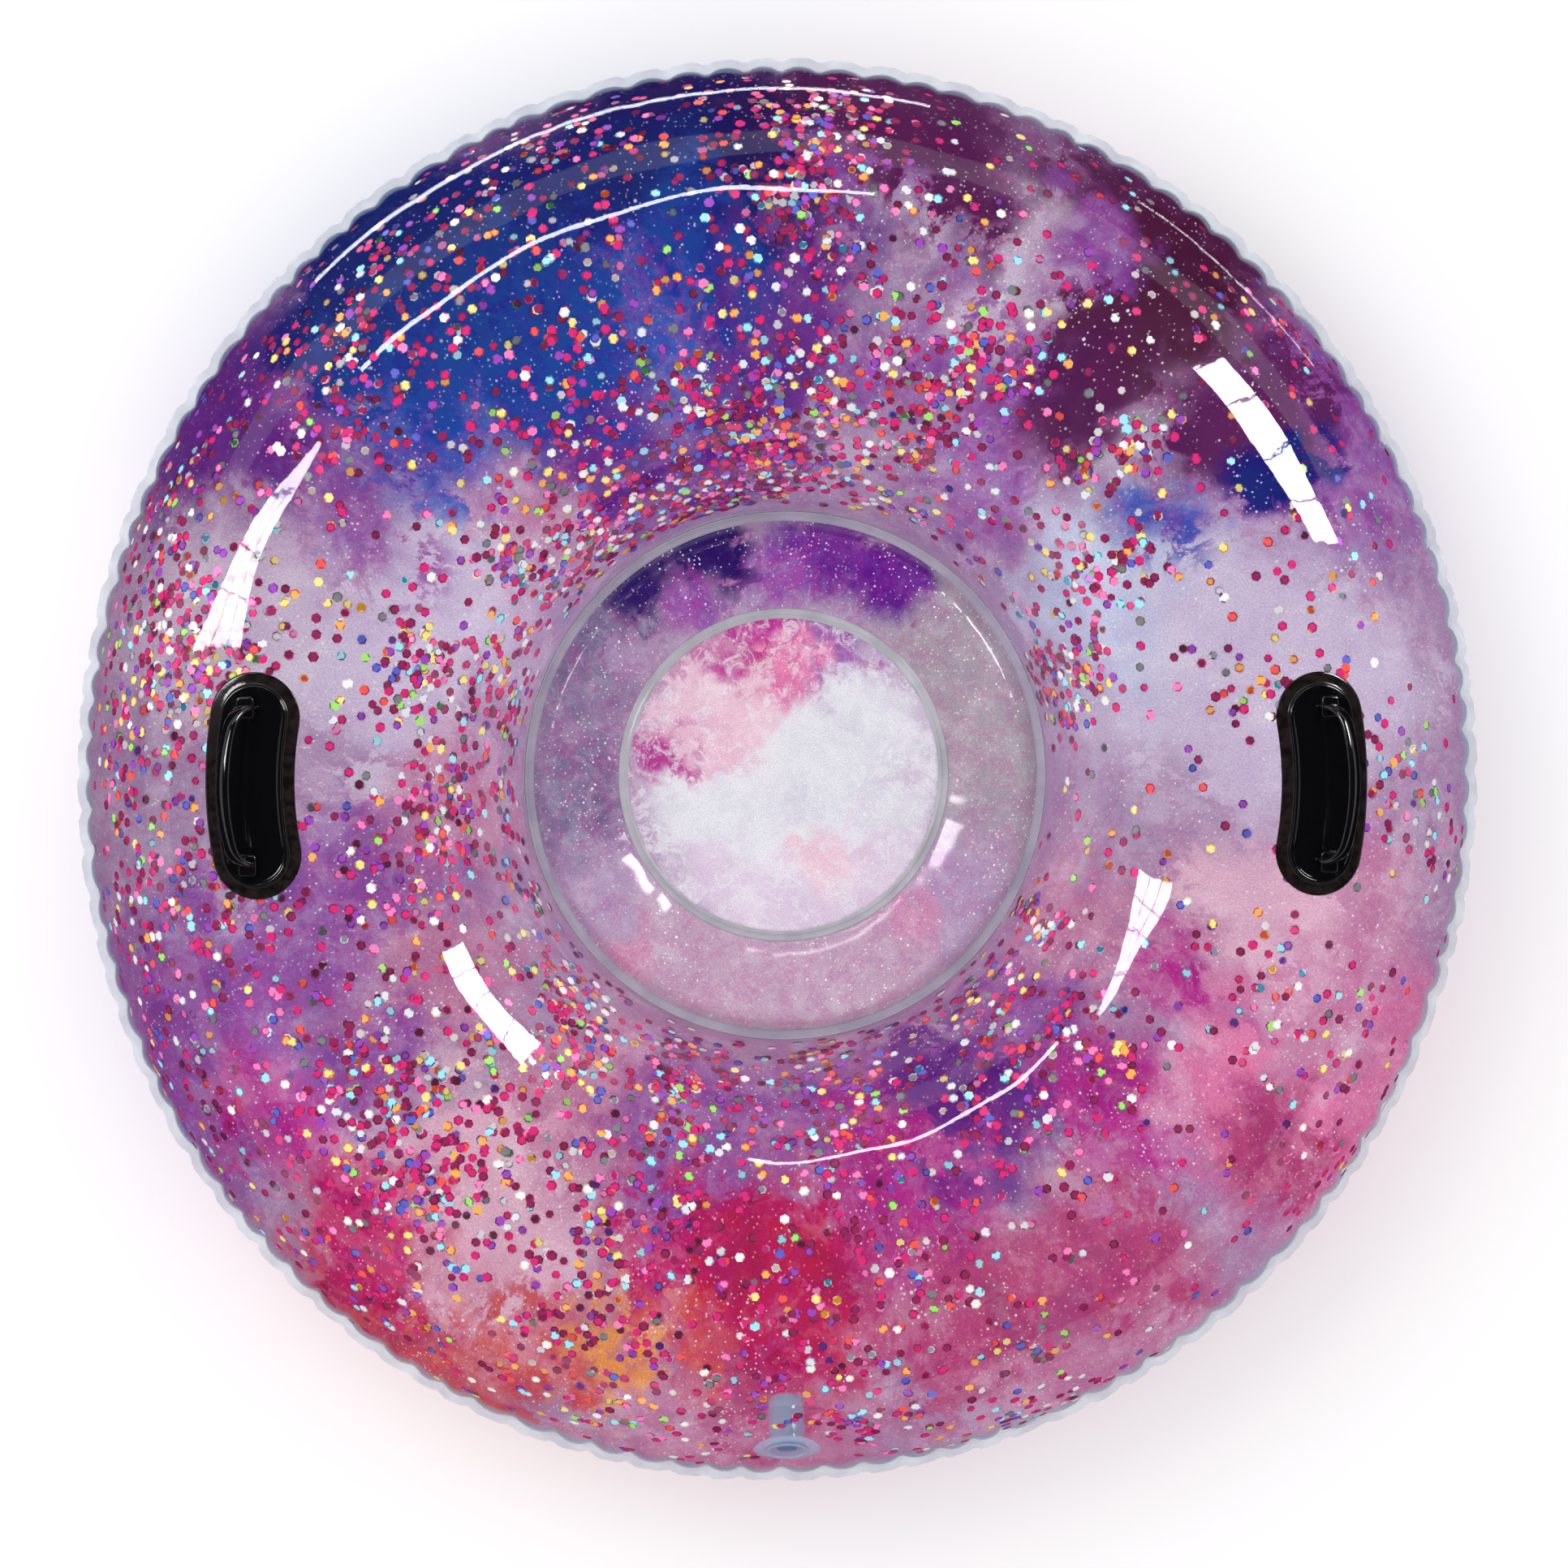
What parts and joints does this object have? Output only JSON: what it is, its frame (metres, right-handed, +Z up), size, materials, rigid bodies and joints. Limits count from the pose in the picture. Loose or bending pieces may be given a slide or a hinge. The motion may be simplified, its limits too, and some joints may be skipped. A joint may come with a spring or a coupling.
{
  "type": "inflatable pool float",
  "caption": "Round inflatable pool float: clear-topped tube with loose glitter over a galaxy print, printed cushion floor, grab handles and push-in valves.",
  "frame": {"origin": "on the ground under the centre of the tube", "axes": "+Z up out of the seat, -Y towards the tube's valve, the two handles on +X and -X"},
  "size_m": [0.9796, 0.9798, 0.3054],
  "materials": {
    "clear_vinyl": "clear glossy vinyl film",
    "printed_vinyl": "glossy vinyl printed with a purple, blue and magenta nebula with small stars",
    "glitter": "hexagonal holographic film flakes in many colours",
    "weld_vinyl": "clear grey-green welded vinyl edge",
    "printed_floor": "glossy vinyl printed with a pale pink and purple nebula with small stars",
    "black_vinyl": "black glossy moulded vinyl",
    "valve_vinyl": "clear bluish moulded vinyl"
  },
  "bodies": {
    "float": {"ring_top_skin": "clear_vinyl", "ring_base_skin": "printed_vinyl", "outer_seam_flange": "weld_vinyl", "bore_seam_band": "weld_vinyl", "floor_top_sheet": "printed_floor", "floor_base_sheet": "printed_floor", "floor_inner_weld": "weld_vinyl", "floor_centre_panel": "printed_floor", "handle_left": "black_vinyl", "handle_right": "black_vinyl", "ring_valve_body": "valve_vinyl", "floor_valve_body": "valve_vinyl", "ring_glitter": "glitter"},
    "ring_stem": {"ring_valve_stem": "valve_vinyl", "ring_valve_strap": "valve_vinyl"},
    "ring_plug": {"ring_valve_plug": "valve_vinyl"},
    "ring_flap": {"ring_valve_flap": "valve_vinyl"},
    "floor_stem": {"floor_valve_stem": "valve_vinyl", "floor_valve_strap": "valve_vinyl"},
    "floor_plug": {"floor_valve_plug": "valve_vinyl"},
    "floor_flap": {"floor_valve_flap": "valve_vinyl"}
  },
  "joints": [
    {"name": "ring_stem_slide", "type": "slide", "parent": "float", "child": "ring_stem", "axis": [0, -0.829, 0.5592], "range_m": [0, 0.026]},
    {"name": "ring_plug_pull", "type": "slide", "parent": "ring_stem", "child": "ring_plug", "axis": [0, -0.829, 0.5592], "range_m": [0, 0.012]},
    {"name": "ring_flap_open", "type": "hinge", "parent": "ring_stem", "child": "ring_flap", "pos_m": [-0.0054, -0.42808, 0.19325], "axis": [0, 0.5592, 0.829], "range_deg": [0, 60], "stiffness_Nm_per_rad": 0.0005},
    {"name": "floor_stem_slide", "type": "slide", "parent": "float", "child": "floor_stem", "axis": [0, 0, -1], "range_m": [0, 0.0156]},
    {"name": "floor_plug_pull", "type": "slide", "parent": "floor_stem", "child": "floor_plug", "axis": [0, 0, -1], "range_m": [0, 0.0075]},
    {"name": "floor_flap_open", "type": "hinge", "parent": "floor_stem", "child": "floor_flap", "pos_m": [-0.00324, 0.1455, 0.14517], "axis": [0, -1, 0], "range_deg": [0, 60], "stiffness_Nm_per_rad": 0.0005}
  ]
}
